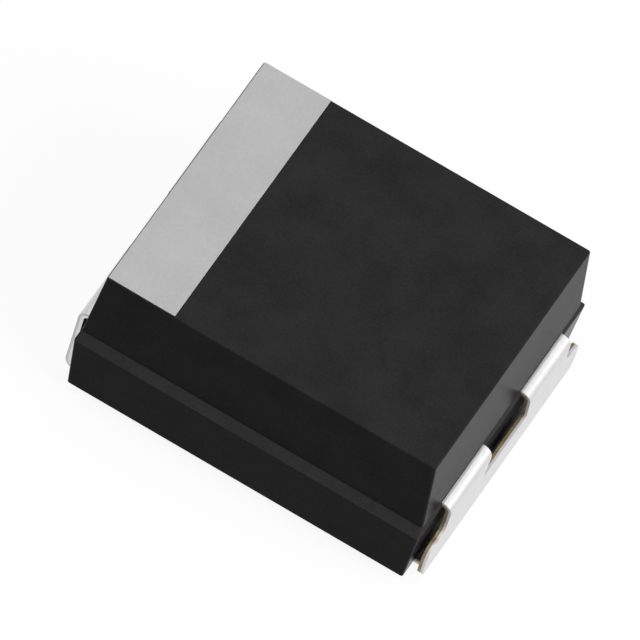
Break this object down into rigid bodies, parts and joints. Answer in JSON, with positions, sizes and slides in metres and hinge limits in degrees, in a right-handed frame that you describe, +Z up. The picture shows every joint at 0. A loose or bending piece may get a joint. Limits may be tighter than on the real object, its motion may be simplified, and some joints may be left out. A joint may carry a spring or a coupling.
{
  "type": "tantalum capacitor",
  "caption": "Moulded tantalum chip capacitor: black epoxy case with a pale polarity stripe, a coated slug inside and two folded tinned terminals to solder on.",
  "frame": {"origin": "centre of the part's footprint, on the board that it stands on", "axes": "+X from the striped anode end to the cathode end, +Y across the case, +Z up from the board"},
  "size_m": [0.0034, 0.0028, 0.0016],
  "materials": {
    "moulded_epoxy": "matt, moulded, silica-filled epoxy",
    "stripe_ink": "printed pale grey ink",
    "tinned_lead": "matt tin plating on nickel-iron sheet, bare on the cut edges",
    "tantalum_metal": "drawn tantalum wire",
    "washer_plastic": "white fluoropolymer",
    "sintered_tantalum": "pressed and sintered powder",
    "dioxide": "dull black manganese dioxide",
    "graphite": "dipped graphite",
    "silver_paint": "dipped silver paint",
    "silver_glue": "cured silver-filled adhesive"
  },
  "bodies": {
    "root": {"moulded_case": "moulded_epoxy", "polarity_stripe": "stripe_ink", "anode_terminal": "tinned_lead", "cathode_terminal": "tinned_lead", "tantalum_wire": "tantalum_metal", "wire_washer": "washer_plastic", "tantalum_slug": "sintered_tantalum", "manganese_dioxide_coat": "dioxide", "graphite_coat": "graphite", "silver_coat": "silver_paint", "silver_adhesive": "silver_glue"}
  },
  "joints": []
}
